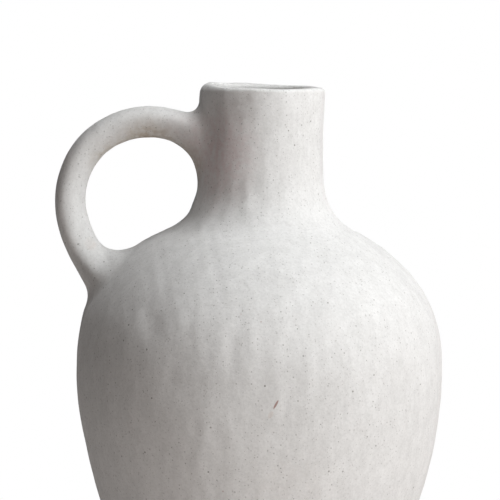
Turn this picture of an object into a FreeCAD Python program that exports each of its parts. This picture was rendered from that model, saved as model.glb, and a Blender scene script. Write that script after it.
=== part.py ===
import FreeCAD, Part
import math
import os

from FreeCAD import Vector

# A one-handled jug of coarse white clay, as the separate pieces of clay it is put together from.
#
# The jug stands on Z = 0 with its own axis on +Z, and its handle points along -X.
# The wall is made in sections that key into each other. The handle is a rolled coil whose
# ends sit in shallow seats, and a soft coil of clay is worked into the corner round each end.
# All lengths are in millimetres and all angles in degrees.

# Outline of the vessel: foot, belly, the turn from shoulder to collar, and the straight neck
foot_radius = 70.0
foot_flare_deg = 24.0
belly_radius = 120.0
belly_height = 177.5
turn_radius = 66.0
turn_rise = 83.0
turn_slope_deg = 26.5
neck_radius = 41.0
collar_rise = 47.0
neck_length = 48.5

# How fully the outline swells on either side of each of those places
foot_swell = 66.0
belly_swell_below = 68.5
belly_swell_above = 51.0
turn_swell_below = 15.0
turn_swell_above = 16.5
collar_swell = 33.0

# Wall and base: a foot ring under a disc, with a cove where the floor meets the wall
wall = 7.0
base_thickness = 10.0
cove_radius = 12.0
foot_ring_height = 6.0
foot_ring_width = 13.0
foot_edge_round = 2.0

# Where the neck is set on the shoulder, above the turn
neck_joint_rise = 33.5

# Lip: a coil on top of the neck, trimmed a little out of level, higher on the handle's side
lip_height = 7.5
lip_tilt_deg = 2.7
lip_round = 3.2
lip_round_limit_share = 0.46

# Handle: up out of the neck, round a loop, and down a gentler tail to the shoulder
handle_radius = 10.0
loop_radius = 52.0
loop_stand_off = 30.4
loop_top_drop = 23.0
lead_slope_deg = 11.0
tail_radius = 110.0
tail_turn_deg = 14.0
tail_slope_deg = 60.0
seat_depth = 2.0

# Coils worked into the corners at the handle's ends, by the radius of their hollow face
upper_coil_above = 8.0
upper_coil_below = 22.0
lower_coil_round = 20.0

# Ridge and groove that key each section to the next, as shares of the wall
key_width_share = 0.5
key_depth_share = 0.35

# How far inside the vessel the handle's sweep starts and ends, before it is trimmed
embed_share = 0.5

# One overrun serves every cutting solid, and surfaces nearer than touching are one surface
overrun = 20.0
touching = 0.005

turn_height = belly_height + turn_rise
collar_height = turn_height + collar_rise
rim_height = collar_height + neck_length
floor_height = foot_ring_height + base_thickness
lip_joint_height = rim_height - lip_height
neck_joint_height = turn_height + neck_joint_rise
key_width = wall * key_width_share
key_depth = wall * key_depth_share
loop_start_deg = 90 - lead_slope_deg
loop_end_deg = 270 - tail_slope_deg - tail_turn_deg
loop_centre = Vector(-(neck_radius + loop_stand_off), 0, rim_height - loop_top_drop - loop_radius)

UP = Vector(0, 0, 1)
SIDEWAYS = Vector(0, 1, 0)
ORIGIN = Vector(0, 0, 0)
TOLERANCE = Part.Precision.approximation()


def at(radius, height):
    """A point at a radius from the axis, on the side away from the handle."""
    return Vector(radius, 0, height)


def heading(angle_deg):
    """The unit direction at an angle above +X, in the plane of the handle."""
    angle = math.radians(angle_deg)
    return Vector(math.cos(angle), 0, math.sin(angle))


def stretch(start, start_deg, start_swell, end, end_deg, end_swell, inset):
    """One curved stretch of the outline, moved inwards by inset.

    An inset stretch keeps its headings at both ends, and its swells follow its chord.
    """
    inner_start = start + heading(start_deg + 90) * inset
    inner_end = end + heading(end_deg + 90) * inset
    growth = (inner_end - inner_start).Length / (end - start).Length
    curve = Part.BezierCurve()
    curve.setPoles([
        inner_start,
        inner_start + heading(start_deg) * start_swell * growth,
        inner_end - heading(end_deg) * end_swell * growth,
        inner_end,
    ])
    return curve.toShape()


def outline(inset, top):
    """The edges of the outline from the foot up to the height top, moved inwards by inset."""
    foot_deg = 90 - foot_flare_deg
    turn_deg = 180 - turn_slope_deg
    foot = at(foot_radius, 0)
    belly = at(belly_radius, belly_height)
    turn = at(turn_radius, turn_height)
    collar = at(neck_radius, collar_height)
    return [
        stretch(foot, foot_deg, foot_swell, belly, 90, belly_swell_below, inset),
        stretch(belly, 90, belly_swell_above, turn, turn_deg, turn_swell_below, inset),
        stretch(turn, turn_deg, turn_swell_above, collar, 90, collar_swell, inset),
        Part.makeLine(at(neck_radius - inset, collar_height), at(neck_radius - inset, top)),
    ]


def turned(edges):
    """The solid that a closed outline makes when it is turned about the jug's axis."""
    return Part.Face(Part.Wire(edges)).revolve(ORIGIN, UP, 360)


def full_outline(inset, top):
    """The outline as a full solid, moved inwards by inset and closed at the height top."""
    edges = outline(inset, top)
    bottom = edges[0].Vertexes[0].Point
    corners = [at(neck_radius - inset, top), at(0, top), at(0, bottom.z), bottom]
    return turned(edges + Part.makePolygon(corners).Edges)


def radius_at(height, inset):
    """The outline's radius at a height, moved inwards by inset."""
    level = Part.makeLine(at(0, height), at(belly_radius + overrun, height))
    places = level.distToShape(Part.Wire(outline(inset, rim_height)))[1]
    return places[0][0].x


def level_line(height):
    """A level line from the axis out past the wall."""
    return [at(0, height), at(belly_radius + overrun, height)]


def keyed_line(height, middle):
    """A level line from the axis out past the wall, with the key's V under the radius middle."""
    return [
        at(0, height),
        at(middle - key_width / 2, height),
        at(middle, height - key_depth),
        at(middle + key_width / 2, height),
        at(belly_radius + overrun, height),
    ]


def wall_joint(height):
    """The line on which two sections of the wall meet, with its key in mid-wall."""
    return keyed_line(height, radius_at(height, wall / 2))


def band(lower_line, upper_line):
    """The turned solid between two lines that run out from the axis."""
    corners = lower_line + upper_line[::-1]
    return turned(Part.makePolygon(corners + corners[:1]).Edges)


def only_solid(shape):
    """The one solid that a cut left."""
    solids = shape.removeSplitter().Solids
    if len(solids) != 1:
        raise ValueError("expected one solid, got %d" % len(solids))
    return solids[0]


def level_circles(shape, height):
    """The edges of a shape that are level circles at a height."""
    return [
        edge for edge in shape.Edges
        if edge.isClosed()
        and edge.BoundBox.ZLength < TOLERANCE
        and abs(edge.BoundBox.ZMin - height) < TOLERANCE
    ]


def make_vessel():
    """The whole hollow wall with its base, before it is divided into sections."""
    outside = full_outline(0, rim_height + overrun)
    inside = full_outline(wall, rim_height + 2 * overrun)
    below_floor = Part.makeCylinder(belly_radius, floor_height + overrun, at(0, -overrun))
    cavity = inside.cut(below_floor)
    cavity = cavity.makeFillet(cove_radius, level_circles(cavity, floor_height))
    recess_radius = foot_radius - foot_ring_width
    recess = Part.makeCylinder(recess_radius, foot_ring_height + overrun, at(0, -overrun))
    return outside.cut(cavity).cut(recess)


def make_foot_ring(section):
    """The ring that the jug stands on, with both of its lower edges eased."""
    ring = only_solid(section)
    return ring.makeFillet(foot_edge_round, level_circles(ring, 0))


def make_lip(section):
    """The lip, trimmed on a slant and rounded over on both edges."""
    rim = at(0, rim_height)
    reach = neck_radius + overrun
    waste = Part.makeBox(2 * reach, 2 * reach, 2 * overrun, Vector(-reach, -reach, rim_height))
    waste.rotate(rim, SIDEWAYS, lip_tilt_deg)
    trimmed = only_solid(section.cut(waste))
    across = heading(90 - lip_tilt_deg)
    edges = [
        edge for edge in trimmed.Edges
        if all(abs((point - rim).dot(across)) < TOLERANCE for point in edge.discretize(5))
    ]
    return trimmed.makeFillet(min(lip_round, wall * lip_round_limit_share), edges)


def make_handle_sweep():
    """The handle's coil, from inside the neck round the loop to inside the shoulder."""
    tail_centre = loop_centre + heading(loop_end_deg) * (loop_radius - tail_radius)
    tail_end_deg = loop_end_deg + tail_turn_deg
    loop_start = loop_centre + heading(loop_start_deg) * loop_radius
    loop_middle = loop_centre + heading((loop_start_deg + loop_end_deg) / 2) * loop_radius
    loop_end = loop_centre + heading(loop_end_deg) * loop_radius
    tail_middle = tail_centre + heading((loop_end_deg + tail_end_deg) / 2) * tail_radius
    tail_end = tail_centre + heading(tail_end_deg) * tail_radius
    into_neck = heading(loop_start_deg - 90)
    into_shoulder = heading(tail_end_deg + 90)
    neck_run = (-neck_radius * embed_share - loop_start.x) / into_neck.x
    shoulder_run = (-belly_radius * embed_share - tail_end.x) / into_shoulder.x
    start = loop_start + into_neck * neck_run
    finish = tail_end + into_shoulder * shoulder_run
    path = Part.Wire([
        Part.makeLine(start, loop_start),
        Part.Arc(loop_start, loop_middle, loop_end).toShape(),
        Part.Arc(loop_end, tail_middle, tail_end).toShape(),
        Part.makeLine(tail_end, finish),
    ])
    top = start + heading(loop_start_deg) * handle_radius
    bottom = start - heading(loop_start_deg) * handle_radius
    back = start + SIDEWAYS * handle_radius
    front = start - SIDEWAYS * handle_radius
    section = Part.Wire([
        Part.Arc(top, back, bottom).toShape(),
        Part.Arc(bottom, front, top).toShape(),
    ])
    return path.makePipeShell([section], True, False)


def root_edges(outside, sweep, joined):
    """The edges where the handle leaves the vessel: those over the loop's centre, and the others."""
    over = []
    under = []
    for edge in joined.Edges:
        middle = Part.Vertex(edge.valueAt((edge.FirstParameter + edge.LastParameter) / 2))
        surfaces = [outside.Shells[0], sweep.Shells[0]]
        if all(surface.distToShape(middle)[0] < TOLERANCE for surface in surfaces):
            side = over if middle.Z > loop_centre.z else under
            side.append(edge)
    return over, under


def make_root_coils(outside, sweep):
    """The coils in the corners round the handle's upper and lower ends."""
    joined = outside.fuse(sweep)
    over, under = root_edges(outside, sweep, joined)
    edge = over[0]
    radii = [upper_coil_above, upper_coil_below]
    if edge.valueAt(edge.FirstParameter).z < edge.valueAt(edge.LastParameter).z:
        radii.reverse()
    upper = joined.makeFillet(radii[0], radii[1], [edge])
    lower = joined.makeFillet(lower_coil_round, under)
    return [only_solid(filled.cut([joined], touching)) for filled in (upper, lower)]


def main():
    vessel = make_vessel()
    sweep = make_handle_sweep()
    handle = only_solid(sweep.cut(full_outline(seat_depth, rim_height)))
    upper_coil, lower_coil = make_root_coils(full_outline(0, rim_height), sweep)

    foot_line = level_line(0)
    ring_line = keyed_line(foot_ring_height, foot_radius - foot_ring_width / 2)
    floor_line = wall_joint(floor_height)
    belly_line = wall_joint(belly_height)
    neck_line = wall_joint(neck_joint_height)
    lip_line = wall_joint(lip_joint_height)
    open_line = level_line(rim_height + overrun)

    parts = {
        "foot_ring": make_foot_ring(vessel.common(band(foot_line, ring_line))),
        "base_disc": only_solid(vessel.common(band(ring_line, floor_line))),
        "lower_wall": only_solid(vessel.common(band(floor_line, belly_line))),
        "upper_wall": only_solid(vessel.common(band(belly_line, neck_line)).cut(handle)),
        "neck": only_solid(vessel.common(band(neck_line, lip_line)).cut(handle)),
        "lip": make_lip(vessel.common(band(lip_line, open_line))),
        "handle": handle,
        "upper_handle_coil": upper_coil,
        "lower_handle_coil": lower_coil,
    }
    os.makedirs("parts", exist_ok=True)
    for name, shape in parts.items():
        shape.exportStep("parts/" + name + ".step")
        print(name, "valid" if shape.isValid() else "not valid", round(shape.Volume), shape.BoundBox)


main()
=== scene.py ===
import math

import bpy
import numpy as np
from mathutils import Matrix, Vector


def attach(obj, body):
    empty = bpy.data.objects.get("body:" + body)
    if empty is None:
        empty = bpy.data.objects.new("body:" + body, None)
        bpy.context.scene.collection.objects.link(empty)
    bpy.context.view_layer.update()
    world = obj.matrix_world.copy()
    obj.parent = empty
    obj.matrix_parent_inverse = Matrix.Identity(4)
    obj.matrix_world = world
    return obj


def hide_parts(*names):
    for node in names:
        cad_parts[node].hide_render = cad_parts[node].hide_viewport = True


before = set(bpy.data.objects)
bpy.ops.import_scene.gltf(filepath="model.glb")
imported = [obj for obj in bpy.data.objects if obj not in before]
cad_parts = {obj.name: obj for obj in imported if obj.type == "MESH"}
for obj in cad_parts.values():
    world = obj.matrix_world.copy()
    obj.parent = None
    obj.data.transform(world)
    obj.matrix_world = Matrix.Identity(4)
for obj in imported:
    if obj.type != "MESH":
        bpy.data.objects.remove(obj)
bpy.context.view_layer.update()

# A one-handled jug of coarse clay in a matte white slip.
#
# The geometry is worked out upright, in millimetres, as the CAD has it. Then one soft field gives
# it the unevenness of handwork and the slight lean of the real jug, and it is put in metres.
METRES = 0.001
TURN = 2 * math.pi

# Outline of the vessel, the same as in the CAD
foot_radius = 70.0
foot_flare_deg = 24.0
belly_radius = 120.0
belly_height = 177.5
turn_radius = 66.0
turn_height = 260.5
turn_slope_deg = 26.5
neck_radius = 41.0
collar_height = 307.5
rim_height = 356.0
foot_swell = 66.0
belly_swell_below = 68.5
belly_swell_above = 51.0
turn_swell_below = 15.0
turn_swell_above = 16.5
collar_swell = 33.0

# Small fullnesses of the real outline: how much, at what height, over what height
fullnesses = [
    (0.4, 153.0, 26.0),
    (0.4, 277.0, 7.0),
    (0.5, 353.0, 14.0),
]

# Wall, base and foot ring
wall = 7.0
floor_height = 16.0
cove_radius = 12.0
ring_height = 6.0
recess_radius = 57.0
foot_round = 2.0

# Heights at which the pieces of the wall meet
belly_joint = belly_height
neck_joint = 294.0
lip_joint = 348.5

# The lip's rounding: across and down, its inner round, what it keeps flat and upright at least, and
# how far under the rim its outer radius is taken from the outline
lip_across = 1.7
lip_down = 1.9
lip_inner_round = 2.4
lip_flat = 0.3
lip_upright = 0.5
lip_radius_below_rim = 3.0

# How the rounding grows beside the handle and opposite it. A higher power keeps it to a shorter arc
handle_side_across = 3.4
handle_side_down = 3.8
handle_side_inner = 1.5
handle_side_power = 6
far_side_across = 0.5
far_side_down = 1.0
far_side_power = 4

# The lip's height: over the rim, higher at the front, in waves, and lower in one dip
lip_lift = 0.55
lip_tilt = 0.2
lip_waves = [
    # how many round the lip, how high, where the first one starts, in radians
    (3, 0.12, 0.6),
    (7, 0.072, 2.0),
]
lip_dip = 1.1
lip_dip_deg = 235.0
lip_dip_width_deg = 24.0

# Handle: nearly the path of the CAD, a little out of round, and thicker towards the shoulder. Its
# line runs on inside the neck and the shoulder, and its ends are seated a little in the wall
loop_centre = np.array([-71.7, 280.2])
loop_radius = 52.1
loop_start_deg = 79.0
loop_end_deg = 196.0
loop_wobble = 0.4
loop_fullest_deg = 135.0
tail_radius = 82.0
tail_turn_deg = 14.0
loop_thickness = 9.9
tail_thickness = 10.9
thicker_from_end = 105.0
thickest_from_end = 55.0
run_inside_neck = 32.0
run_inside_shoulder = 60.0
handle_seat = 2.0

# How much deeper the handle is at its outside than in its middle, as a share, and how far out of
# the wall this starts and is complete
handle_spread = 0.27
spread_from = 2.0
spread_to = 16.0

# The clay worked in at the ends of the handle: its rounds away from the loop's centre, towards it
# and at the sides, and how deep its hidden back lies
upper_coil_rounds = (7.0, 30.0, 18.0)
lower_coil_rounds = (15.0, 16.5, 25.0)
coil_seat = 1.6

# Unevenness of handwork: soft lumps, fine pebbles, and long upright ripples on the body and neck.
# Waves have a count, a shortest and a longest length, and the share of their change along Z
lump_size = 0.35
lump_waves = (24, 35, 90, 0.8)
ripple_size = 0.14
ripple_waves = (40, 15, 32, 0.28)
pebble_size = 0.065
pebble_waves = (60, 7, 15, 0.6)
handwork_seed = 11

# The handwork starts at the foot and is full from this height
full_handwork_height = 12.0

# Work on the wall is full up to the first distance out of it, and gone at the second
wall_near = 2.0
wall_far = 10.0

# How far in front of the axis the dents of the front are full
front_depth = 25.0

dents = [
    # across, height, depth, width, tallness: seen from the front
    (-68.0, 212.0, 1.5, 7.0, 10.0),
    (-50.5, 177.0, 0.6, 6.0, 14.0),
    (-37.0, 129.0, -0.4, 7.0, 25.0),
    (-16.0, 196.0, 0.5, 5.0, 17.0),
    (-9.0, 282.0, -0.45, 4.0, 12.0),
    (-0.5, 283.0, 0.4, 4.0, 9.0),
    (10.6, 168.0, -0.3, 5.0, 35.0),
    (-22.0, 272.0, -0.35, 6.0, 7.0),
]
presses = [
    # direction round the axis, its width in degrees, height, reach, depth: pressed in or swollen
    (180.0, 38.0, 271.5, 8.5, 3.1),
    (180.0, 50.0, 211.0, 8.0, -0.6),
    (180.0, 60.0, 188.0, 24.0, 0.9),
    (180.0, 60.0, 128.0, 62.0, 1.35),
    (180.0, 50.0, 303.0, 9.0, -0.4),
    (180.0, 50.0, 286.0, 8.0, 1.5),
    (180.0, 40.0, 262.0, 5.5, 2.5),
    (180.0, 40.0, 257.0, 9.0, 0.8),
    (212.0, 26.0, 327.0, 38.0, 3.3),
    (180.0, 45.0, 356.0, 8.0, 1.3),
    (242.0, 22.0, 148.0, 70.0, -1.8),
    (0.0, 60.0, 325.0, 24.0, 0.55),
    (0.0, 60.0, 271.0, 6.0, -0.8),
    (0.0, 60.0, 248.0, 14.0, 0.7),
]
swellings = [
    # centre, reach, push: clay that stands out, such as the ridge on the lower root of the handle
    ((-107.0, -24.0, 238.0), 13.0, (0.0, -3.0, 0.0)),
    ((-36.0, -40.0, 266.0), 12.0, (-0.7, -1.0, 0.9)),
    ((-48.0, -14.0, 331.0), 9.0, (0.0, -1.5, 0.5)),
]

# The body's sway to one side, full in its lower part and gone above
sway = 0.45
sway_full_height = 100.0
sway_gone_height = 170.0

# The slight lean of the real jug towards +X, and the slant of its lip beyond that
lean_deg = 0.765
lean_from = 150.0
lean_to = 290.0
lean_table_height = 400.0
lean_table_step = 0.5
lip_slant_deg = 1.35
lip_slant_from = 332.0

# Spacing of the meshes, and how many rows their round stretches have
around = 360
around_handle = 96
outer_spacing = 1.8
inner_spacing = 4.5
handle_spacing = 1.6
foot_arc_rows = 7
cove_arc_rows = 9
disc_rings = 15
lip_side_shares = (0.35, 0.7)
lip_outer_rows = 12
lip_inner_rows = 9
coil_rows = 30

# Fineness of the lines, searches and normals that the meshes are worked out from
stretch_points = 400
neck_points = 200
fine_spacing = 0.2
line_step = 0.25
search_step = 0.05
neck_search = 75.0
shoulder_search = 110.0
normal_reach = 0.05

# The least radius for a press, and lengths that count as nothing
least_radius = 1.0
no_length = 1e-12
same_place = 1e-6

# Colours, as they are under plain white light, but for the brown, pink and grey painted shade
slip_colour = (0.910, 0.906, 0.898)
slip_grey = (0.652, 0.645, 0.634)
clay_colour = (0.66, 0.54, 0.47)
brown_painted_shade = (0.50, 0.43, 0.35)
pink_painted_shade = (0.68, 0.535, 0.53)
grey_painted_shade = (0.50, 0.465, 0.45)
speck_colour = (0.19, 0.175, 0.155)
fleck_colour = (0.34, 0.17, 0.14)

# Fields of noise in the slip: size of the lumps in millimetres, squeeze along each axis, number of
# finer layers, how strong these are, and shift of the pattern
cloud_noise = (55, (1, 1, 1), 3.0, 0.5, 0.2)
smear_noise = (9, (1, 1, 0.2), 3.0, 0.6, 0.5)
brushed_noise = (2.6, (1, 1, 0.16), 2.0, 0.6, 0.8)
mottle_noise = (8, (1, 1, 0.7), 4.0, 0.65, 1.1)
grain_noise = (1.7, (1, 1, 1), 3.0, 0.7, 1.7)
tint_noise = (4, (1, 1, 1), 2.0, 0.5, 2.3)
pebble_noise = (3.6, (1, 1, 1), 2.0, 0.5, 3.1)

# Between which values noise counts, for soft fields, for grainy ones and for bare clay
soft_range = (0.3, 0.7)
grainy_range = (0.25, 0.75)
bare_range = (0.2, 0.8)

# How much each field of noise counts in the slip's tone
cloud_share = 1.1
smear_share = 1.2
brushed_share = 0.9
mottle_share = 2.2
grain_share = 2.8

# Specks: size of their cells, share of cells without one, smallest and largest radius, shift of
# the pattern, and strength
dark_specks = [
    (1.3, 0.55, 0.18, 0.42, 0.73, 0.4),
    (2.0, 0.50, 0.28, 0.62, 0.0, 0.5),
    (5.0, 0.50, 0.35, 0.80, 0.37, 0.75),
]
red_flecks = (12.0, 0.86, 0.4, 0.9, 0.91, 0.5)
speck_core = 0.55
faintest_speck = 0.35
sharp_edge = 0.001

# Places tinted towards a clay colour, centre, reach, strength and colour: thin slip where the clay
# shows, and painted shade in brown under the handle's loop, in pink on the neck's shaded side and
# in grey at the edge of the neck's shade
thin_slip_and_painted_shade = [
    # Darker and warmer at the outer edge of the handle's loop
    ((-128.0, -6.0, 312.0), 11.0, 0.16, clay_colour),
    # Brown painted shade under the top of the handle's loop and in its corner at the neck
    ((-72.0, -2.0, 315.0), 27.0, 0.80, brown_painted_shade),
    ((-44.0, -2.0, 306.0), 21.0, 0.65, brown_painted_shade),
    ((-94.0, -2.0, 306.0), 22.0, 0.50, brown_painted_shade),
    # Pink painted shade, darker and warmer on the neck's shaded left side
    ((-40.0, -42.0, 316.0), 48.0, 0.60, pink_painted_shade),
    # Grey painted shade at the top of the neck, where its shade ends
    ((-9.0, -40.0, 345.0), 14.0, 0.35, grey_painted_shade),
    ((-109.0, -8.0, 254.0), 6.0, 0.20, clay_colour),
    ((-8.0, -106.0, 97.0), 7.0, 0.35, clay_colour),
    ((20.0, -110.0, 105.0), 40.0, 0.05, clay_colour),
]
tint_core = 0.25
tint_patchiness = (0.6, 1.4)

# Marks on the front, and a band of painted shade along the edge of the neck's shade: centre, tilt
# above +X, length, width, strength and colour
marks_and_painted_shade = [
    ((10.6, -118.0, 163.0), 61.0, 7.5, 1.6, 0.8, fleck_colour),
    ((7.4, -118.0, 156.5), 61.0, 6.0, 3.5, 0.25, clay_colour),
    # Grey painted shade along the edge of the neck's shade
    ((-9.5, -42.0, 291.5), 63.0, 30.0, 11.0, 0.20, grey_painted_shade),
]
band_depth = 30.0
band_core = 0.35

# The edge of the slip above the foot, how far it wavers, and the shade and specks of the bare clay
bare_up_to = 5.5
slip_from = 7.8
slip_edge_wave = 1.6
clay_shade = 0.86
clay_specks = 0.8

# Surface of the slip
smoothest = 0.82
roughest = 0.95
slip_specular = 0.25
pebble_bump = 1.4
speck_pit = 0.6
bump_strength = 0.5
bump_height = 0.18

# Floor, in metres: real near the jug, and pure white to the camera far from it
near_floor = 0.30
far_floor = 0.46
floor_size = 6.0
floor_colour = (0.81, 0.755, 0.725)
floor_roughness = 0.9

# Lamps: azimuth from the camera's side, elevation, power and colour. They are round and soft, and
# all at one distance from the middle of the jug, in metres
lamps = {
    "key_low": (54, 20, 16.8, (0.967, 1.0, 1.01)),
    "key_middle": (50, 55, 3.2, (0.93, 1.0, 1.05)),
    "key_high": (60, 72, 12.2, (0.95, 1.0, 1.02)),
    "behind": (110, 20, 3.6, (1.0, 0.9, 0.88)),
    "front": (30, 20, 4.0, (1.0, 0.87, 0.80)),
    "top": (0, 88, 4.7, (1.0, 0.895, 0.85)),
}
lamp_distance = 1.8
lamp_width = 1.2
lamp_aim = Vector((0, 0, 0.22))

# Camera of the photograph, in metres, with its lens and sensor in millimetres
camera_elevation_deg = 5.0
camera_distance = 2.5
camera_target = Vector((-0.005557, 0, 0.249286))
camera_lens = 275.75
camera_sensor = 36
camera_nearest = 0.05
camera_farthest = 50


def smooth(low, high, value):
    """Rises smoothly from 0 at low to 1 at high."""
    share = np.clip((value - low) / (high - low), 0, 1)
    return share * share * (3 - 2 * share)


def heading(angle_deg):
    """The unit direction at an angle from +X, in the handle's plane or seen from above."""
    angle = math.radians(angle_deg)
    return np.array([math.cos(angle), math.sin(angle)])


def length_of(vectors):
    """The length of each vector, kept as a column."""
    return np.linalg.norm(vectors, axis=-1, keepdims=True)


def normalised(vectors):
    """Each vector at unit length."""
    return vectors / np.maximum(length_of(vectors), no_length)


def bezier(share, poles):
    """Points and directions of a cubic curve at each share of its run."""
    rest = 1 - share
    points = (
        rest ** 3 * poles[0]
        + 3 * rest ** 2 * share * poles[1]
        + 3 * rest * share ** 2 * poles[2]
        + share ** 3 * poles[3]
    )
    along = (
        rest ** 2 * (poles[1] - poles[0])
        + 2 * rest * share * (poles[2] - poles[1])
        + share ** 2 * (poles[3] - poles[2])
    )
    return points, along


def stretch(start, start_deg, start_swell, end, end_deg, end_swell, inset):
    """One curved stretch of the outline, moved inwards by inset."""
    inner_start = start + heading(start_deg + 90) * inset
    inner_end = end + heading(end_deg + 90) * inset
    growth = length_of(inner_end - inner_start) / length_of(end - start)
    poles = [
        inner_start,
        inner_start + heading(start_deg) * start_swell * growth,
        inner_end - heading(end_deg) * end_swell * growth,
        inner_end,
    ]
    return bezier(np.linspace(0, 1, stretch_points)[:, None], poles)[0]


def outline(inset):
    """The outline from the foot to above the rim, as points of radius and height."""
    foot_deg = 90 - foot_flare_deg
    turn_deg = 180 - turn_slope_deg
    foot = np.array([foot_radius, 0])
    belly = np.array([belly_radius, belly_height])
    turn = np.array([turn_radius, turn_height])
    collar = np.array([neck_radius, collar_height])
    runs = [
        stretch(foot, foot_deg, foot_swell, belly, 90, belly_swell_below, inset),
        stretch(belly, 90, belly_swell_above, turn, turn_deg, turn_swell_below, inset)[1:],
        stretch(turn, turn_deg, turn_swell_above, collar, 90, collar_swell, inset)[1:],
    ]
    heights = np.linspace(collar_height, rim_height + wall, neck_points)[1:]
    runs.append(np.stack([np.full(len(heights), neck_radius - inset), heights], axis=1))
    points = np.concatenate(runs)
    for amount, height, reach in fullnesses:
        points[:, 0] += amount * np.exp(-(((points[:, 1] - height) / reach) ** 2))
    return points


def with_normals(points):
    """Adds to each point of a line the direction that points out of the clay on its right."""
    along = normalised(np.gradient(points, axis=0))
    return np.concatenate([points, along[:, 1:], -along[:, :1]], axis=1)


def run_lengths(points):
    """How far along its line each point is."""
    steps = length_of(np.diff(points[:, :2], axis=0))[:, 0]
    return np.concatenate([[0], np.cumsum(steps)])


def rows_between(line, low, high, spacing):
    """Evenly spaced rows of a line between two heights."""
    lengths = run_lengths(line)
    start, end = np.interp([low, high], line[:, 1], lengths)
    count = max(2, round((end - start) / spacing) + 1)
    places = np.linspace(start, end, count)
    return np.stack([np.interp(places, lengths, column) for column in line.T], axis=1)


OUTER = with_normals(outline(0))
INNER = with_normals(outline(wall))


def wall_radius(heights):
    """The radius of the vessel's outside at each height."""
    return np.interp(heights, OUTER[:, 1], OUTER[:, 0])


def onto_wall(points):
    """The nearest points of the vessel's outside, and its normals there."""
    radius = np.hypot(points[:, 0], points[:, 1])
    fine = rows_between(OUTER, foot_round, rim_height, fine_spacing)
    gaps = (fine[None, :, 0] - radius[:, None]) ** 2 + (fine[None, :, 1] - points[:, 2:]) ** 2
    nearest = fine[np.argmin(gaps, axis=1)]
    outward = points[:, :2] / radius[:, None]
    found = np.concatenate([outward * nearest[:, :1], nearest[:, 1:2]], axis=1)
    normals = np.concatenate([outward * nearest[:, 2:3], nearest[:, 3:4]], axis=1)
    return found, normals


def spin(rows):
    """Turns rows of radius, height and normal about the axis, as (points, normals)."""
    if rows.ndim == 2:
        rows = np.repeat(rows[:, None, :], around, axis=1)
    angles = np.arange(around) * TURN / around
    across = np.cos(angles)[None]
    deep = np.sin(angles)[None]
    points = np.stack([rows[..., 0] * across, rows[..., 0] * deep, rows[..., 1]], axis=-1)
    normals = np.stack([rows[..., 2] * across, rows[..., 2] * deep, rows[..., 3]], axis=-1)
    return points, normals


def inward(rows):
    """The same rows in the other order, seen from the other side."""
    return rows[::-1] * np.array([1, 1, -1, -1])


def flat(start, end):
    """A plain strip between two rows, such as a joint that is hidden in the clay."""
    return np.stack([start[0], end[0]]), None


def make_waves(seed, count, shortest, longest, upright):
    """Random soft waves. Where upright is under 1, they are drawn out along Z."""
    draw = np.random.default_rng(seed)
    directions = normalised(draw.normal(size=(count, 3)))
    waves = directions * TURN / draw.uniform(shortest, longest, (count, 1))
    waves[:, 2] *= upright
    phases = draw.uniform(0, TURN, count)
    pushes = draw.normal(size=(count, 3)) / math.sqrt(count)
    return waves, phases, pushes


LUMPS = make_waves(handwork_seed, *lump_waves)
RIPPLES = make_waves(handwork_seed + 1, *ripple_waves)
PEBBLES = make_waves(handwork_seed + 2, *pebble_waves)
LEAN_HEIGHTS = np.arange(0, lean_table_height + lean_table_step, lean_table_step)
LEAN_ANGLES = np.radians(lean_deg) * smooth(lean_from, lean_to, LEAN_HEIGHTS)
LEAN_SHIFTS = np.cumsum(np.tan(LEAN_ANGLES)) * lean_table_step


def waved(points, field):
    """The push that one field of waves gives to each point."""
    waves, phases, pushes = field
    return np.sin(points @ waves.T + phases) @ pushes


def across_handle(points):
    """How far points are outside the handle's centre line, in the plane of its loop."""
    in_plane = points[:, [0, 2]]
    tail_centre = on_loop(loop_end_deg, tail_radius)
    off_loop = length_of(in_plane - loop_centre)[:, 0] - loop_radius
    off_tail = length_of(in_plane - tail_centre)[:, 0] - tail_radius
    past_loop = (in_plane - loop_centre) @ heading(loop_end_deg + 90) > 0
    return np.where(past_loop, off_tail, off_loop)


def dent_front(moved, points):
    """Pushes points of the front in or out at each dent."""
    front = smooth(0, -front_depth, points[:, 1])
    for across, height, depth, width, tallness in dents:
        spread = ((points[:, 0] - across) / width) ** 2 + ((points[:, 2] - height) / tallness) ** 2
        moved[:, 1] += depth * np.exp(-spread) * front


def press_wall(moved, points, near_wall):
    """Pushes points of the wall towards the axis, or away from it, at each press."""
    radius = np.maximum(np.hypot(moved[:, 0], moved[:, 1]), least_radius)
    for direction, width, height, reach, depth in presses:
        facing = np.degrees(np.arccos(np.clip(moved[:, :2] @ heading(direction) / radius, -1, 1)))
        spread = (facing / width) ** 2 + ((points[:, 2] - height) / reach) ** 2
        push = depth * np.exp(-spread) * near_wall
        moved[:, :2] -= moved[:, :2] / radius[:, None] * push[:, None]


def deepen_handle(moved, points, out_of_wall):
    """Makes the handle deeper at the outside of its loop, and less deep at the inside."""
    across = np.clip(across_handle(points) / loop_thickness, -1, 1)
    spreading = handle_spread * smooth(spread_from, spread_to, out_of_wall)
    moved[:, 1] += spreading * across * points[:, 1]


def leaning(points):
    """Points where the lean of the jug takes them."""
    angles = np.interp(points[:, 2], LEAN_HEIGHTS, LEAN_ANGLES)
    shifts = np.interp(points[:, 2], LEAN_HEIGHTS, LEAN_SHIFTS)
    return np.stack([
        shifts + points[:, 0] * np.cos(angles),
        points[:, 1],
        points[:, 2] - points[:, 0] * np.sin(angles),
    ], axis=1)


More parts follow.
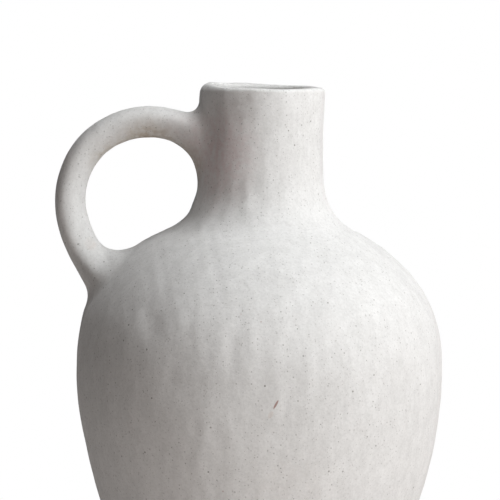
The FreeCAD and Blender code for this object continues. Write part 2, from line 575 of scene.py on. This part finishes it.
def by_hand(points):
    """Moves upright points by the jug's unevenness, the slant of its lip and its lean."""
    off_foot = smooth(0, full_handwork_height, points[:, 2:])
    moved = points + lump_size * waved(points, LUMPS) * off_foot
    out_of_wall = np.hypot(points[:, 0], points[:, 1]) - wall_radius(points[:, 2])
    near_wall = smooth(wall_far, wall_near, out_of_wall)
    worked = ripple_size * waved(points, RIPPLES) * near_wall[:, None]
    worked += pebble_size * waved(points, PEBBLES)
    moved += worked * off_foot
    dent_front(moved, points)
    press_wall(moved, points, near_wall)
    deepen_handle(moved, points, out_of_wall)
    for centre, reach, push in swellings:
        spread = (((points - centre) / reach) ** 2).sum(axis=1, keepdims=True)
        moved += np.exp(-spread) * push
    moved[:, 0] += sway * smooth(sway_gone_height, sway_full_height, points[:, 2])
    slant = math.tan(math.radians(lip_slant_deg)) * smooth(lip_slant_from, rim_height, points[:, 2])
    moved[:, 2] -= points[:, 0] * slant
    return leaning(moved)


def normals_by_hand(points, normals):
    """The normals of a surface after by_hand."""
    helper = np.where(np.abs(normals[:, 2:]) < 0.7, [[0.0, 0.0, 1.0]], [[1.0, 0.0, 0.0]])
    first = normalised(np.cross(helper, normals))
    second = np.cross(normals, first)
    first_step = first * normal_reach
    second_step = second * normal_reach
    first_moved = by_hand(points + first_step) - by_hand(points - first_step)
    second_moved = by_hand(points + second_step) - by_hand(points - second_step)
    return normalised(np.cross(first_moved, second_moved))


def put_in_scene(name, data):
    """A new object in the scene."""
    thing = bpy.data.objects.new(name, data)
    bpy.context.scene.collection.objects.link(thing)
    return thing


def number_rings(runs, closed):
    """The points of runs of rings, and the numbers of each ring's points. A pole has one point."""
    rings = [run[0][:-1] for run in runs]
    if not closed:
        rings.append(runs[-1][0][-1:])
    rings = np.concatenate(rings)
    poles = np.ptp(rings, axis=1).max(axis=-1) < same_place
    ids = np.zeros(rings.shape[:2], int)
    points = []
    total = 0
    for i, ring in enumerate(rings):
        own = ring[:1] if poles[i] else ring
        ids[i] = total + np.arange(len(own))
        points.append(own)
        total += len(own)
    if closed:
        ids = np.concatenate([ids, ids[:1]])
    return np.concatenate(points), ids


def ring_faces(vertices, here, above, normals):
    """The faces between two rings, their corner normals, and what they add to the volume."""
    quads = np.stack([here, np.roll(here, -1), np.roll(above, -1), above], axis=1)
    sides = vertices[quads]
    across = np.cross(sides[:, 2] - sides[:, 0], sides[:, 3] - sides[:, 1])
    volume = (across * sides.mean(axis=1)).sum()
    if normals is None:
        corners = np.repeat(normalised(across)[:, None], 4, axis=1)
    else:
        low, high = normals
        corners = np.stack([low, np.roll(low, -1, 0), np.roll(high, -1, 0), high], axis=1)
    keep = [0, 1, 2, 3]
    if here[0] == here[1]:
        keep = [0, 2, 3]
    elif above[0] == above[1]:
        keep = [0, 1, 2]
    return quads[:, keep], corners[:, keep], volume


def skin(name, runs, closed):
    """A closed mesh from runs of rings. Each run starts on the ring that the one before ends on.

    A run is (points, normals), as rings by places round the ring. A run without normals is flat.
    A ring whose points are all one point is a pole. When closed, the last ring is the first one.
    """
    upright, ids = number_rings(runs, closed)
    vertices = by_hand(upright)
    strips = []
    total_volume = 0.0
    row = 0
    for points, normals in runs:
        hidden = normals is None
        if not hidden:
            shape = normals.shape
            normals = normals_by_hand(points.reshape(-1, 3), normals.reshape(-1, 3)).reshape(shape)
        for i in range(len(points) - 1):
            pair = None if hidden else normals[i:i + 2]
            faces, corners, volume = ring_faces(vertices, ids[row], ids[row + 1], pair)
            strips.append((faces, corners, hidden))
            total_volume += volume
            row += 1
    if total_volume < 0:
        strips = [
            (faces[:, ::-1], corners[:, ::-1] * (-1 if hidden else 1), hidden)
            for faces, corners, hidden in strips
        ]
    all_faces = [face for faces, _, _ in strips for face in faces.tolist()]
    all_corners = np.concatenate([corners.reshape(-1, 3) for _, corners, _ in strips])

    mesh = bpy.data.meshes.new(name)
    mesh.from_pydata((vertices * METRES).tolist(), [], all_faces)
    mesh.polygons.foreach_set("use_smooth", np.ones(len(all_faces), bool))
    mesh.normals_split_custom_set(all_corners.tolist())
    mesh.validate()
    mesh.update()
    return put_in_scene(name, mesh)


def wall_section(name, outside, inside):
    """A section of the wall from its two faces, with flat hidden joints above and below."""
    top = flat(outside[0][-1:], inside[0][:1])
    bottom = flat(inside[0][-1:], outside[0][:1])
    return skin(name, [outside, top, inside, bottom], True)


def wall_piece(name, low, high):
    """A plain section of the wall between two heights."""
    outside = spin(rows_between(OUTER, low, high, outer_spacing))
    inside = spin(inward(rows_between(INNER, low, high, inner_spacing)))
    return wall_section(name, outside, inside)


def arc_rows(centre, radius, start_deg, end_deg, count):
    """Rows on an arc of the section, with normals that point away from its centre."""
    rows = []
    for angle in np.linspace(start_deg, end_deg, count):
        rows.append(np.concatenate([centre + heading(angle) * radius, heading(angle)]))
    return np.array(rows)


def make_foot_ring():
    """The ring that the jug stands on, with rounded edges and a recess inside it."""
    lean_out_deg = -foot_flare_deg
    across = heading(lean_out_deg)
    centre_radius = foot_radius - (foot_round + across[1] * foot_round) / across[0]
    outer_centre = np.array([centre_radius, foot_round])
    inner_centre = np.array([recess_radius + foot_round, foot_round])
    inner_edge = arc_rows(inner_centre, foot_round, 180, 270, foot_arc_rows)
    outer_edge = arc_rows(outer_centre, foot_round, -90, lean_out_deg, foot_arc_rows)
    flank = rows_between(OUTER, outer_edge[-1, 1], ring_height, outer_spacing)
    recess_wall = np.array([
        [recess_radius, ring_height, -1, 0],
        [recess_radius, foot_round, -1, 0],
    ])
    outside = spin(np.concatenate([recess_wall[:1], inner_edge, outer_edge, flank[1:]]))
    top = flat(outside[0][-1:], outside[0][:1])
    return skin("jug_foot_ring", [outside, top], True)


def disc_rows(radius, height, facing, outwards):
    """A flat disc as rows from the axis outwards, or from its edge to the axis."""
    radii = np.linspace(0, radius, disc_rings)
    rows = np.array([[r, height, 0, facing] for r in radii])
    return rows if outwards else rows[::-1]


def cove():
    """The arc where the floor meets the wall, from the wall down to the floor."""
    middle = with_normals(outline(wall + cove_radius))
    height = floor_height + cove_radius
    centre = np.array([np.interp(height, middle[:, 1], middle[:, 0]), height])
    gaps = length_of(INNER[:, :2] - centre)[:, 0]
    touch = INNER[np.argmin(gaps)]
    start_deg = math.degrees(math.atan2(touch[1] - centre[1], touch[0] - centre[0]))
    rows = arc_rows(centre, cove_radius, start_deg, -90, cove_arc_rows)
    rows[:, 2:] *= -1
    rows[0, :2] = touch[:2]
    return rows


def make_base_disc(cove_rows):
    """The flat disc of the floor, which shows under the foot and inside the cove."""
    under = spin(disc_rows(recess_radius, ring_height, -1, True))
    flank = spin(rows_between(OUTER, ring_height, floor_height, outer_spacing))
    over = spin(disc_rows(cove_rows[-1, 0], floor_height, 1, False))
    runs = [
        under,
        flat(under[0][-1:], flank[0][:1]),
        flank,
        flat(flank[0][-1:], over[0][:1]),
        over,
    ]
    return skin("jug_base_disc", runs, False)


def make_lower_wall(cove_rows):
    """The wall from the floor to the belly's widest place, with the cove inside."""
    outside = spin(rows_between(OUTER, floor_height, belly_joint, outer_spacing))
    side = inward(rows_between(INNER, cove_rows[0, 1], belly_joint, inner_spacing))
    inside = spin(np.concatenate([side[:-1], cove_rows]))
    return wall_section("jug_lower_wall", outside, inside)


def make_lip():
    """The coil on the neck, rounded over, uneven, and more rounded beside the handle."""
    angles = np.arange(around) * TURN / around
    by_handle = ((1 - np.cos(angles)) / 2) ** handle_side_power
    far_side = ((1 + np.cos(angles)) / 2) ** far_side_power
    across = lip_across + handle_side_across * by_handle + far_side_across * far_side
    down = lip_down + handle_side_down * by_handle + far_side_down * far_side
    inner_round = lip_inner_round - handle_side_inner * by_handle
    across = np.minimum(across, wall - inner_round - lip_flat)
    top = rim_height + lip_lift - lip_tilt * np.sin(angles)
    for count, size, start in lip_waves:
        top += size * np.sin(count * angles + start)
    top -= lip_dip * np.exp(-(((np.degrees(angles) - lip_dip_deg) / lip_dip_width_deg) ** 2))
    outer_radius = wall_radius(rim_height - lip_radius_below_rim)
    base_radius = wall_radius(lip_joint)
    inner_radius = neck_radius - wall

    def row(radius, height, normal_out, normal_up):
        """One ring of the lip. Each value is one number, or one for each place round the lip."""
        columns = [np.broadcast_to(value, angles.shape) for value in
                   (radius, height, normal_out, normal_up)]
        return np.stack(columns, axis=-1)

    spring = np.maximum(top - down, lip_joint + lip_upright)
    down = top - spring
    rows = [row(base_radius, lip_joint, 1, 0)]
    for share in lip_side_shares:
        rows.append(row(outer_radius, lip_joint + (spring - lip_joint) * share, 1, 0))
    for angle in np.radians(np.linspace(0, 90, lip_outer_rows)):
        out = across * math.sin(angle) / down
        length = np.hypot(math.cos(angle), out)
        rows.append(row(
            outer_radius - across * (1 - math.cos(angle)),
            spring + down * math.sin(angle),
            math.cos(angle) / length,
            out / length,
        ))
    crest_inner = inner_radius + inner_round
    for angle in np.radians(np.linspace(90, 180, lip_inner_rows)):
        rows.append(row(
            crest_inner + inner_round * math.cos(angle),
            top - inner_round * (1 - math.sin(angle)),
            math.cos(angle),
            math.sin(angle),
        ))
    rows.append(row(inner_radius, lip_joint, -1, 0))
    outside = spin(np.stack(rows))
    bottom = flat(outside[0][-1:], outside[0][:1])
    return skin("jug_lip", [outside, bottom], True)


def on_loop(angle_deg, inset=0.0):
    """A point of the loop, which is not quite round. An inset takes it towards the centre."""
    wobble = loop_wobble * math.cos(math.radians(3 * (angle_deg - loop_fullest_deg)))
    return loop_centre + heading(angle_deg) * (loop_radius + wobble - inset)


def handle_line():
    """The handle's centre line from inside the neck to inside the shoulder.

    Each row has across, height, the direction along the line, and the thickness there.
    """
    start = on_loop(loop_start_deg)
    tail_centre = on_loop(loop_end_deg, tail_radius)
    tail_end_deg = loop_end_deg + tail_turn_deg
    end = tail_centre + heading(tail_end_deg) * tail_radius
    into_neck = heading(loop_start_deg - 90)
    into_shoulder = heading(tail_end_deg + 90)
    points = []
    for run in np.arange(run_inside_neck, 0, -line_step):
        points.append(start + into_neck * run)
    for angle in np.arange(loop_start_deg, loop_end_deg, math.degrees(line_step / loop_radius)):
        points.append(on_loop(angle))
    for angle in np.arange(loop_end_deg, tail_end_deg, math.degrees(line_step / tail_radius)):
        points.append(tail_centre + heading(angle) * tail_radius)
    for run in np.arange(0, run_inside_shoulder, line_step):
        points.append(end + into_shoulder * run)
    points = np.array(points)
    along = normalised(np.gradient(points, axis=0))
    lengths = run_lengths(points)
    to_end = lengths[-1] - lengths
    thicker = smooth(thicker_from_end, thickest_from_end, to_end)
    thickness = loop_thickness + (tail_thickness - loop_thickness) * thicker
    return lengths, np.concatenate([points, along, thickness[:, None]], axis=1)


LINE_LENGTHS, LINE = handle_line()


def on_handle(run, turn):
    """Points, directions along the handle, and outward directions, at runs and turns round it."""
    line = [np.interp(run, LINE_LENGTHS, column) for column in LINE.T]
    along = normalised(np.stack([line[2], np.zeros_like(line[2]), line[3]], axis=-1))
    away = np.stack([along[..., 2], np.zeros_like(line[2]), -along[..., 0]], axis=-1)
    outward = away * np.cos(turn)[..., None]
    outward[..., 1] += np.sin(turn)
    centre = np.stack([line[0], np.zeros_like(line[0]), line[1]], axis=-1)
    return centre + outward * line[4][..., None], along, outward


def handle_crossing(from_neck):
    """For each place round the handle, the run at which its side meets the vessel's outside."""
    turns = np.arange(around_handle) * TURN / around_handle
    search = neck_search if from_neck else shoulder_search
    runs = np.linspace(0, search, round(search / search_step) + 1)
    if not from_neck:
        runs = LINE_LENGTHS[-1] - runs
    grid_runs, grid_turns = np.meshgrid(runs, turns, indexing="ij")
    points = on_handle(grid_runs, grid_turns)[0]
    gap = np.hypot(points[..., 0], points[..., 1]) - wall_radius(points[..., 2])
    first = np.argmax(gap > 0, axis=0)
    place = np.arange(around_handle)
    before = gap[first - 1, place]
    after = gap[first, place]
    return turns, runs[first - 1] + (runs[first] - runs[first - 1]) * before / (before - after)


def make_handle():
    """The rolled coil itself, with both ends set a little into the wall."""
    neck_turns, neck_runs = handle_crossing(True)
    tail_runs = handle_crossing(False)[1]
    span = tail_runs - neck_runs + 2 * handle_seat
    count = round(span.max() / handle_spacing)
    shares = np.linspace(0, 1, count)[:, None]
    runs = neck_runs - handle_seat + shares * span
    turns = np.broadcast_to(neck_turns, runs.shape)
    points, _, outward = on_handle(runs, turns)
    first_middle = np.broadcast_to(points[:1].mean(axis=1, keepdims=True), points[:1].shape)
    last_middle = np.broadcast_to(points[-1:].mean(axis=1, keepdims=True), points[:1].shape)
    skins = [flat(first_middle, points[:1]), (points, outward), flat(points[-1:], last_middle)]
    return skin("jug_handle", skins, False)


def rounding_at(turns, outside, inside, sides):
    """The round of the worked clay at each turn about the handle."""
    rounding = inside + (outside - inside) * (1 + np.cos(turns)) / 2
    return rounding + (sides - (inside + outside) / 2) * np.sin(turns) ** 2


def flare(name, from_neck, rounds):
    """The clay worked into the corner round one end of the handle.

    Its hollow face leaves the handle and meets the wall without a crease, on about the given
    rounds away from the loop's centre, towards it, and on the two sides.
    """
    turns, runs = handle_crossing(from_neck)
    sign = 1 if from_neck else -1
    crossing, along, outward = on_handle(runs, turns)
    along = along * sign
    wall_normals = onto_wall(crossing)[1]
    edge = np.roll(crossing, -1, axis=0) - np.roll(crossing, 1, axis=0)
    off_wall = normalised(np.cross(wall_normals, edge))
    off_wall *= np.sign((off_wall * outward).sum(axis=1, keepdims=True))
    off_handle = normalised(np.cross(outward, edge))
    off_handle *= np.sign((off_handle * along).sum(axis=1, keepdims=True))
    corner = np.arccos(np.clip((off_wall * off_handle).sum(axis=1), -1, 1))
    rounding = rounding_at(turns, *rounds)
    reach = rounding / np.tan(corner / 2)
    pull = 4 / 3 * np.tan((math.pi - corner) / 4) * rounding

    thickness = np.interp(runs, LINE_LENGTHS, LINE[:, 4])
    sideways = np.cross(along, outward)
    run_share = (off_handle * along).sum(axis=1)
    turn_share = (off_handle * sideways).sum(axis=1)
    small_turn = 0.01
    turned = on_handle(runs, turns + small_turn)[2] - outward
    spin_sign = np.sign((turned * sideways).sum(axis=1))
    start_runs = runs + sign * reach * run_share
    start_turns = turns + spin_sign * reach * turn_share / thickness
    start, start_along, start_outward = on_handle(start_runs, start_turns)
    start_along = start_along * sign
    start_side = np.cross(start_along, start_outward)
    leaving = start_along * run_share[:, None] + start_side * turn_share[:, None]
    end, end_normals = onto_wall(crossing + off_wall * reach[:, None])
    arriving = off_wall - end_normals * (off_wall * end_normals).sum(axis=1, keepdims=True)
    arriving = normalised(arriving)
    poles = [start, start - leaving * pull[:, None], end - arriving * pull[:, None], end]

    shares = np.linspace(0, 1, coil_rows)[:, None, None]
    points, directions = bezier(shares, poles)
    round_it = np.roll(points, -1, axis=1) - np.roll(points, 1, axis=1)
    normals = normalised(np.cross(directions, round_it))
    facing = (normals[0] * start_outward).sum()
    normals *= np.sign(facing)
    rim_out = end + arriving * coil_seat - end_normals * coil_seat * 0.5
    under_wall = end - end_normals * coil_seat
    middle = crossing - wall_normals * coil_seat - outward * coil_seat
    in_handle = start - start_outward * coil_seat
    hidden = np.stack([points[-1], rim_out, under_wall, middle, in_handle, points[0]])
    return skin(name, [(points, normals), (hidden, None)], True)


class Shading:
    """Short ways to add nodes to one material."""

    def __init__(self, name):
        self.material = bpy.data.materials.new(name)
        self.material.use_nodes = True
        self.tree = self.material.node_tree
        self.shader = self.tree.nodes["Principled BSDF"]
        texture = self.tree.nodes.new("ShaderNodeTexCoord")
        self.place = texture.outputs["Object"]

    def link(self, value, socket):
        """Feeds a socket from another one, or sets it to a plain value."""
        if isinstance(value, bpy.types.NodeSocket):
            self.tree.links.new(value, socket)
        elif value is not None:
            socket.default_value = value

    def math(self, operation, *values, clamp=False):
        """The result of one operation on numbers."""
        node = self.tree.nodes.new("ShaderNodeMath")
        node.operation = operation
        node.use_clamp = clamp
        for value, socket in zip(values, node.inputs):
            self.link(value, socket)
        return node.outputs[0]

    def vector(self, operation, *values):
        """The result of one operation on vectors."""
        node = self.tree.nodes.new("ShaderNodeVectorMath")
        node.operation = operation
        for value, socket in zip(values, node.inputs):
            self.link(value, socket)
        gives_number = operation in ("LENGTH", "DISTANCE", "DOT_PRODUCT")
        return node.outputs["Value" if gives_number else "Vector"]

    def step(self, value, low, high, bottom=0.0, top=1.0):
        """Rises smoothly from bottom to top while value goes from low to high."""
        node = self.tree.nodes.new("ShaderNodeMapRange")
        node.interpolation_type = "SMOOTHSTEP"
        for given, socket in zip((value, low, high, bottom, top), node.inputs):
            self.link(given, socket)
        return node.outputs[0]

    def noise(self, size, squeeze, detail, roughness, shift):
        """Soft noise whose lumps are about size millimetres across, and longer where squeezed."""
        scaled = self.vector("MULTIPLY", self.place, squeeze)
        moved = self.vector("ADD", scaled, (shift, 0.7 * shift, 0.3 * shift))
        node = self.tree.nodes.new("ShaderNodeTexNoise")
        self.link(moved, node.inputs["Vector"])
        node.inputs["Scale"].default_value = 1000 / size
        node.inputs["Detail"].default_value = detail
        node.inputs["Roughness"].default_value = roughness
        return node.outputs["Fac"]

    def mix(self, share, first, second):
        """A colour between first and second."""
        node = self.tree.nodes.new("ShaderNodeMix")
        node.data_type = "RGBA"
        sockets = {socket.identifier: socket for socket in node.inputs}
        self.link(share, sockets["Factor_Float"])
        for value, name in ((first, "A_Color"), (second, "B_Color")):
            if isinstance(value, tuple):
                value = (*value, 1.0)
            self.link(value, sockets[name])
        return next(s for s in node.outputs if s.identifier == "Result_Color")

    def specks(self, cell, rare, smallest, largest, shift):
        """Round specks in a share of cells, with radii in millimetres, as a mask."""
        moved = self.vector("ADD", self.place, (shift, shift, shift))
        node = self.tree.nodes.new("ShaderNodeTexVoronoi")
        self.link(moved, node.inputs["Vector"])
        node.inputs["Scale"].default_value = 1000 / cell
        parts = self.tree.nodes.new("ShaderNodeSeparateColor")
        self.link(node.outputs["Color"], parts.inputs[0])
        distance = self.math("MULTIPLY", node.outputs["Distance"], cell)
        chosen = self.step(parts.outputs[0], rare, rare + sharp_edge)
        size = self.step(parts.outputs[1], 0.0, 1.0, smallest, largest)
        size = self.math("MULTIPLY", size, chosen)
        inner = self.math("MULTIPLY", size, speck_core)
        outer = self.math("ADD", size, sharp_edge)
        inside = self.step(distance, inner, outer, 1.0, 0.0)
        faintness = self.step(parts.outputs[2], 0.0, 1.0, faintest_speck, 1.0)
        inside = self.math("MULTIPLY", inside, faintness)
        return self.math("MULTIPLY", inside, chosen)

    def mark(self, centre, tilt_deg, length, width):
        """A long soft band on the front, in the plane seen from the front, in millimetres."""
        along = heading(tilt_deg)
        away = self.vector("SUBTRACT", self.place, tuple(value * METRES for value in centre))
        far = 0.5 * length * METRES
        near = 0.5 * width * METRES
        run = self.vector("DOT_PRODUCT", away, (along[0] / far, 0, along[1] / far))
        side = self.vector("DOT_PRODUCT", away, (-along[1] / near, 0, along[0] / near))
        deep = self.vector("DOT_PRODUCT", away, (0, 1 / (band_depth * METRES), 0))
        spread = self.math("MULTIPLY", run, run)
        for part in (side, deep):
            spread = self.math("ADD", spread, self.math("MULTIPLY", part, part))
        return self.step(spread, band_core, 1.0, 1.0, 0.0)


def slip_tones(s, cloud, mottle, grain):
    """The slip's own colour, from grey where its tone is low to white where it is high."""
    fields = (
        (s.noise(*smear_noise), smear_share),
        (s.noise(*brushed_noise), brushed_share),
        (mottle, mottle_share),
        (grain, grain_share),
    )
    tone = s.step(cloud, *soft_range, 0.0, cloud_share)
    for field, share in fields:
        tone = s.math("ADD", tone, s.step(field, *grainy_range, 0.0, share))
    whole = cloud_share + sum(share for _, share in fields)
    return s.mix(s.math("DIVIDE", tone, whole), slip_grey, slip_colour)


def with_thin_slip_and_painted_shade(s, colour):
    """The colour with the clay that shows where the slip is thin, and with painted shade under the
    handle and on the neck's shaded side.
    """
    patches = s.step(s.noise(*tint_noise), *soft_range, *tint_patchiness)
    for centre, reach, strength, place_colour in thin_slip_and_painted_shade:
        away = s.vector("DISTANCE", s.place, tuple(value * METRES for value in centre))
        mask = s.step(away, tint_core * reach * METRES, reach * METRES, strength, 0.0)
        mask = s.math("MULTIPLY", mask, patches, clamp=True)
        colour = s.mix(mask, colour, place_colour)
    return colour


def with_specks(s, colour, dark):
    """The colour with its dark specks, its red flecks, a red fleck with a clay-coloured halo on the
    front, and a band of painted shade along the edge of the neck's shade.
    """
    colour = s.mix(dark, colour, speck_colour)
    *specks, strength = red_flecks
    colour = s.mix(s.math("MULTIPLY", s.specks(*specks), strength), colour, fleck_colour)
    for *place, strength, band_colour in marks_and_painted_shade:
        colour = s.mix(s.math("MULTIPLY", s.mark(*place), strength), colour, band_colour)
    return colour


def with_bare_foot(s, colour, cloud, grain, dark):
    """The colour with the bare clay that the jug stands on."""
    axes = s.tree.nodes.new("ShaderNodeSeparateXYZ")
    s.link(s.place, axes.inputs[0])
    wave = slip_edge_wave * METRES
    edge = s.math("ADD", axes.outputs["Z"], s.step(cloud, *soft_range, -wave, wave))
    slipped = s.step(edge, bare_up_to * METRES, slip_from * METRES)
    dark_clay = tuple(clay_shade * part for part in clay_colour)
    bare = s.mix(s.step(grain, *bare_range), dark_clay, clay_colour)
    bare = s.mix(s.math("MULTIPLY", dark, clay_specks), bare, speck_colour)
    return s.mix(slipped, bare, colour)


def add_bumps(s, grain, dark):
    """Makes the surface sandy, with a pit at each dark speck."""
    pebbles = s.noise(*pebble_noise)
    height = s.math("ADD", grain, s.math("MULTIPLY", pebbles, pebble_bump))
    height = s.math("SUBTRACT", height, s.math("MULTIPLY", dark, speck_pit))
    bump = s.tree.nodes.new("ShaderNodeBump")
    bump.inputs["Strength"].default_value = bump_strength
    bump.inputs["Distance"].default_value = bump_height * METRES
    s.link(height, bump.inputs["Height"])
    s.link(bump.outputs["Normal"], s.shader.inputs["Normal"])


def clay_material(name):
    """Matte slip over coarse clay, bare where it stands."""
    s = Shading(name)
    cloud = s.noise(*cloud_noise)
    mottle = s.noise(*mottle_noise)
    grain = s.noise(*grain_noise)
    dark = 0.0
    for *specks, strength in dark_specks:
        dark = s.math("MAXIMUM", dark, s.math("MULTIPLY", s.specks(*specks), strength))

    colour = slip_tones(s, cloud, mottle, grain)
    colour = with_thin_slip_and_painted_shade(s, colour)
    colour = with_specks(s, colour, dark)
    colour = with_bare_foot(s, colour, cloud, grain, dark)
    s.link(colour, s.shader.inputs["Base Color"])
    s.link(s.step(mottle, *grainy_range, smoothest, roughest), s.shader.inputs["Roughness"])
    s.shader.inputs["Specular IOR Level"].default_value = slip_specular
    add_bumps(s, grain, dark)
    return s.material


def make_floor():
    """The pale plain floor, which the camera sees as pure white far from the jug."""
    half = floor_size / 2
    corners = [(-half, -half, 0), (half, -half, 0), (half, half, 0), (-half, half, 0)]
    mesh = bpy.data.meshes.new("studio_floor")
    mesh.from_pydata(corners, [], [(0, 1, 2, 3)])
    mesh.update()
    floor = put_in_scene("studio_floor", mesh)
    s = Shading("studio_floor")
    s.shader.inputs["Base Color"].default_value = (*floor_colour, 1)
    s.shader.inputs["Roughness"].default_value = floor_roughness
    s.shader.inputs["Specular IOR Level"].default_value = 0.0
    flat_place = s.vector("MULTIPLY", s.place, (1, 1, 0))
    away = s.step(s.vector("LENGTH", flat_place), near_floor, far_floor)
    path = s.tree.nodes.new("ShaderNodeLightPath")
    seen = s.math("ADD", path.outputs["Is Camera Ray"], path.outputs["Is Glossy Ray"])
    seen = s.math("ADD", seen, path.outputs["Is Transmission Ray"], clamp=True)
    white = s.tree.nodes.new("ShaderNodeEmission")
    mixer = s.tree.nodes.new("ShaderNodeMixShader")
    s.link(s.math("MULTIPLY", away, seen), mixer.inputs[0])
    s.link(s.shader.outputs[0], mixer.inputs[1])
    s.link(white.outputs[0], mixer.inputs[2])
    s.link(mixer.outputs[0], s.tree.nodes["Material Output"].inputs["Surface"])
    mesh.materials.append(s.material)


def make_world():
    """White where the camera looks past the floor, and dark otherwise: the lamps give the light."""
    world = bpy.data.worlds.new("studio")
    bpy.context.scene.world = world
    world.use_nodes = True
    tree = world.node_tree
    dark = tree.nodes["Background"]
    dark.inputs["Strength"].default_value = 0.0
    white = tree.nodes.new("ShaderNodeBackground")
    white.inputs["Color"].default_value = (1, 1, 1, 1)
    path = tree.nodes.new("ShaderNodeLightPath")
    first = tree.nodes.new("ShaderNodeMath")
    second = tree.nodes.new("ShaderNodeMath")
    second.use_clamp = True
    tree.links.new(path.outputs["Is Camera Ray"], first.inputs[0])
    tree.links.new(path.outputs["Is Glossy Ray"], first.inputs[1])
    tree.links.new(first.outputs[0], second.inputs[0])
    tree.links.new(path.outputs["Is Transmission Ray"], second.inputs[1])
    mixer = tree.nodes.new("ShaderNodeMixShader")
    tree.links.new(second.outputs[0], mixer.inputs[0])
    tree.links.new(dark.outputs[0], mixer.inputs[1])
    tree.links.new(white.outputs[0], mixer.inputs[2])
    tree.links.new(mixer.outputs[0], tree.nodes["World Output"].inputs["Surface"])


def aim(thing, target, towards, distance):
    """Puts a lamp or camera at a distance from its target, and turns it to face it."""
    thing.location = target + towards * distance
    thing.rotation_mode = "QUATERNION"
    thing.rotation_quaternion = towards.to_track_quat("Z", "Y")


def make_lamp(name, azimuth_deg, elevation_deg, power, colour):
    """A round soft lamp, aimed at the middle of the jug. Azimuth 0 is the camera's side."""
    azimuth = math.radians(azimuth_deg)
    elevation = math.radians(elevation_deg)
    towards = Vector((
        math.sin(azimuth) * math.cos(elevation),
        -math.cos(azimuth) * math.cos(elevation),
        math.sin(elevation),
    ))
    light = bpy.data.lights.new(name, "AREA")
    light.shape = "DISK"
    light.size = lamp_width
    light.energy = power
    light.color = colour
    aim(put_in_scene(name, light), lamp_aim, towards, lamp_distance)


def make_camera():
    """The camera of the photograph, which looks a little down at the jug's shoulder."""
    elevation = math.radians(camera_elevation_deg)
    back = Vector((0, -math.cos(elevation), math.sin(elevation)))
    data = bpy.data.cameras.new("camera")
    data.lens = camera_lens
    data.sensor_width = camera_sensor
    data.clip_start = camera_nearest
    data.clip_end = camera_farthest
    camera = put_in_scene("camera", data)
    aim(camera, camera_target, back, camera_distance)
    bpy.context.scene.camera = camera


cove_rows = cove()
pieces = {
    "foot_ring": make_foot_ring(),
    "base_disc": make_base_disc(cove_rows),
    "lower_wall": make_lower_wall(cove_rows),
    "upper_wall": wall_piece("jug_upper_wall", belly_joint, neck_joint),
    "neck": wall_piece("jug_neck", neck_joint, lip_joint),
    "lip": make_lip(),
    "handle": make_handle(),
    "upper_handle_coil": flare("jug_upper_handle_coil", True, upper_coil_rounds),
    "lower_handle_coil": flare("jug_lower_handle_coil", False, lower_coil_rounds),
}
materials = {slot: clay_material(slot) for slot in ("white_slip", "bare_clay")}
for node, piece in pieces.items():
    slot = "bare_clay" if node == "foot_ring" else "white_slip"
    piece.data.materials.append(materials[slot])
    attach(piece, "root")
    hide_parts(node)

make_floor()
make_world()
for name, lamp in lamps.items():
    make_lamp(name, *lamp)
make_camera()
bpy.context.scene.view_settings.view_transform = "Standard"
